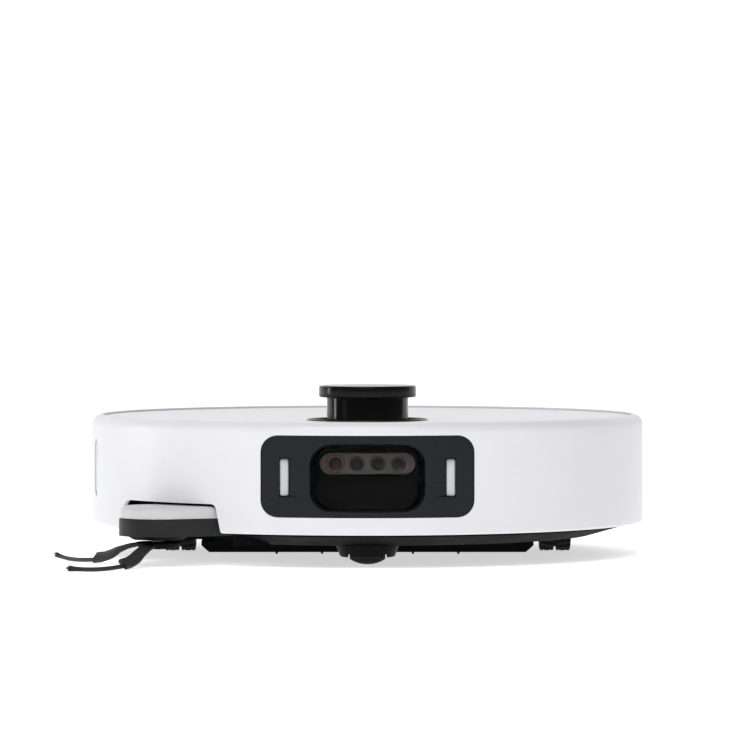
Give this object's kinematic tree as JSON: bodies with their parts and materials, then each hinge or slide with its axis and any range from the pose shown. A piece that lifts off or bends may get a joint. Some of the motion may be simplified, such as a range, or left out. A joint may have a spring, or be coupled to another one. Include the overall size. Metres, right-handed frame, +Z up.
{
  "type": "robot vacuum",
  "caption": "Round robot vacuum and mop with sprung bumper, raised lidar turret, camera window, swing-out side brush arm, main brush, lifting mop pads and lift-off cover.",
  "frame": {"origin": "on the body's vertical axis, at the flat underside of the chassis and battery hatch, which stands 12.5 mm above the floor", "axes": "+Z up, -Y towards the front, +X towards the robot's left"},
  "size_m": [0.3702, 0.3845, 0.1089],
  "materials": {
    "white_shell": "satin",
    "gear_plastic": "matte",
    "dark_plastic": "fine texture",
    "black_gloss": "gloss",
    "smoked_window": "polished, infrared clear",
    "smoked_bin": "gloss",
    "grey_plastic": "matte",
    "led_diffuser": "milky",
    "bronze_dish": "satin metallic",
    "plated_steel": "plated",
    "black_rubber": "moulded",
    "tyre_rubber": "treaded",
    "bristle": "nylon bristle",
    "mop_cloth": "looped microfibre"
  },
  "bodies": {
    "chassis": {"chassis": "dark_plastic", "rear_shell": "white_shell", "charging_contact_left": "plated_steel", "charging_contact_right": "plated_steel", "cliff_sensor_front_left": "smoked_window", "cliff_sensor_front_right": "smoked_window", "battery_pack": "grey_plastic", "battery_hatch": "dark_plastic", "deck": "dark_plastic", "camera_window": "smoked_window", "camera_housing": "black_gloss", "lens_bar": "black_gloss", "turret_well": "bronze_dish", "suction_duct": "dark_plastic", "fan_housing": "grey_plastic", "main_brush_motor": "grey_plastic", "side_brush_motor": "plated_steel", "brush_guard": "dark_plastic", "caster_socket": "dark_plastic", "water_tank": "smoked_bin"},
    "bumper": {"bumper": "white_shell", "sensor_panel": "dark_plastic", "led_bar_left": "led_diffuser", "led_bar_right": "led_diffuser", "wall_sensor_window": "smoked_window"},
    "top_cover": {"top_cover": "white_shell"},
    "dust_bin": {"dust_bin": "smoked_bin", "bin_lid": "grey_plastic", "bin_filter": "mop_cloth"},
    "home_button": {"home_button": "white_shell"},
    "power_button": {"power_button": "white_shell"},
    "turret": {"lidar_carriage": "dark_plastic", "lidar_window_ring": "smoked_window", "lidar_cap": "black_gloss"},
    "lidar_rotor": {"lidar_rotor": "dark_plastic"},
    "side_brush_arm": {"arm_housing": "dark_plastic", "arm_cover": "white_shell"},
    "arm_drive_gear": {"arm_drive_gear": "gear_plastic"},
    "arm_idler_gear": {"arm_idler_gear": "gear_plastic"},
    "side_brush": {"brush_drive_gear": "gear_plastic", "side_brush_hub": "dark_plastic", "side_brush_leg_side": "black_rubber", "side_brush_leg_front": "black_rubber", "side_brush_tuft_side": "bristle", "side_brush_tuft_front": "bristle"},
    "main_brush": {"main_brush": "black_rubber"},
    "fan_impeller": {"fan_impeller": "gear_plastic"},
    "left_swing_arm": {"left_wheel_gearbox": "dark_plastic"},
    "left_wheel": {"left_tyre": "tyre_rubber", "left_wheel_hub": "grey_plastic"},
    "right_swing_arm": {"right_wheel_gearbox": "dark_plastic"},
    "right_wheel": {"right_tyre": "tyre_rubber", "right_wheel_hub": "grey_plastic"},
    "caster_swivel": {"caster_swivel": "black_gloss"},
    "caster_wheel": {"caster_wheel": "black_rubber"},
    "mop_carriage": {"mop_lift_yoke": "grey_plastic"},
    "left_mop": {"left_mop_plate": "dark_plastic", "left_mop_pad": "mop_cloth"},
    "right_mop": {"right_mop_plate": "dark_plastic", "right_mop_pad": "mop_cloth"}
  },
  "joints": [
    {"name": "bumper_press", "type": "slide", "parent": "chassis", "child": "bumper", "axis": [0, 1, 0], "range_m": [0, 0.0022], "stiffness_N_per_m": 600, "springref_m": -0.001},
    {"name": "cover_lift", "type": "slide", "parent": "chassis", "child": "top_cover", "axis": [0, 0, 1], "range_m": [0, 0.1]},
    {"name": "bin_lift", "type": "slide", "parent": "chassis", "child": "dust_bin", "axis": [0, 0, 1], "range_m": [0, 0.05]},
    {"name": "home_press", "type": "slide", "parent": "chassis", "child": "home_button", "axis": [0, 0, -1], "range_m": [0, 0.0008], "stiffness_N_per_m": 800, "springref_m": -0.0003},
    {"name": "power_press", "type": "slide", "parent": "chassis", "child": "power_button", "axis": [0, 0, -1], "range_m": [0, 0.0008], "stiffness_N_per_m": 800, "springref_m": -0.0003},
    {"name": "turret_lift", "type": "slide", "parent": "chassis", "child": "turret", "axis": [0, 0, 1], "range_m": [-0.02, 0]},
    {"name": "lidar_spin", "type": "hinge", "parent": "turret", "child": "lidar_rotor", "pos_m": [0, -0.088, 0.0725], "axis": [0, 0, 1], "continuous": true},
    {"name": "arm_swing", "type": "hinge", "parent": "chassis", "child": "side_brush_arm", "pos_m": [-0.079, -0.121, 0.0175], "axis": [0, 0, 1], "range_deg": [-52, 0]},
    {"name": "side_brush_spin", "type": "hinge", "parent": "side_brush_arm", "child": "side_brush", "pos_m": [-0.1277, -0.135, 0.0075], "axis": [0, 0, 1], "continuous": true},
    {"name": "arm_drive_spin", "type": "hinge", "parent": "side_brush_arm", "child": "arm_drive_gear", "pos_m": [-0.079, -0.121, 0.0175], "axis": [0, 0, 1], "continuous": true},
    {"name": "arm_idler_spin", "type": "hinge", "parent": "side_brush_arm", "child": "arm_idler_gear", "pos_m": [-0.10335, -0.128, 0.0115], "axis": [0, 0, 1], "continuous": true},
    {"name": "main_brush_spin", "type": "hinge", "parent": "chassis", "child": "main_brush", "pos_m": [0, -0.044, 0.0072], "axis": [1, 0, 0], "continuous": true},
    {"name": "fan_spin", "type": "hinge", "parent": "chassis", "child": "fan_impeller", "pos_m": [0, 0.084, 0.0355], "axis": [0, 0, 1], "continuous": true},
    {"name": "left_wheel_swing", "type": "hinge", "parent": "chassis", "child": "left_swing_arm", "pos_m": [0.098, 0.062, 0.0275], "axis": [1, 0, 0], "range_deg": [0, 22], "stiffness_Nm_per_rad": 0.5, "springref_deg": 28.65},
    {"name": "left_wheel_spin", "type": "hinge", "parent": "left_swing_arm", "child": "left_wheel", "pos_m": [0.12, 0.024, 0.0235], "axis": [1, 0, 0], "continuous": true},
    {"name": "right_wheel_swing", "type": "hinge", "parent": "chassis", "child": "right_swing_arm", "pos_m": [-0.098, 0.062, 0.0275], "axis": [1, 0, 0], "range_deg": [0, 22], "stiffness_Nm_per_rad": 0.5, "springref_deg": 28.65},
    {"name": "right_wheel_spin", "type": "hinge", "parent": "right_swing_arm", "child": "right_wheel", "pos_m": [-0.12, 0.024, 0.0235], "axis": [1, 0, 0], "continuous": true},
    {"name": "caster_swivel_turn", "type": "hinge", "parent": "chassis", "child": "caster_swivel", "pos_m": [0, -0.122, 0.0075], "axis": [0, 0, 1], "continuous": true},
    {"name": "caster_wheel_spin", "type": "hinge", "parent": "caster_swivel", "child": "caster_wheel", "pos_m": [0, -0.122, 0.0005], "axis": [1, 0, 0], "continuous": true},
    {"name": "mop_lift", "type": "slide", "parent": "chassis", "child": "mop_carriage", "axis": [0, 0, 1], "range_m": [-0.0102, 0]},
    {"name": "left_mop_spin", "type": "hinge", "parent": "mop_carriage", "child": "left_mop", "pos_m": [0.062, 0.098, 0.0055], "axis": [0, 0, 1], "continuous": true},
    {"name": "right_mop_spin", "type": "hinge", "parent": "mop_carriage", "child": "right_mop", "pos_m": [-0.062, 0.098, 0.0055], "axis": [0, 0, 1], "continuous": true}
  ],
  "couplings": [
    {"joint": "bin_lift", "follows": "cover_lift", "ratio": 0.5},
    {"joint": "arm_drive_spin", "follows": "side_brush_spin", "ratio": 1},
    {"joint": "arm_idler_spin", "follows": "side_brush_spin", "ratio": -1.0667},
    {"joint": "right_mop_spin", "follows": "left_mop_spin", "ratio": -1}
  ]
}
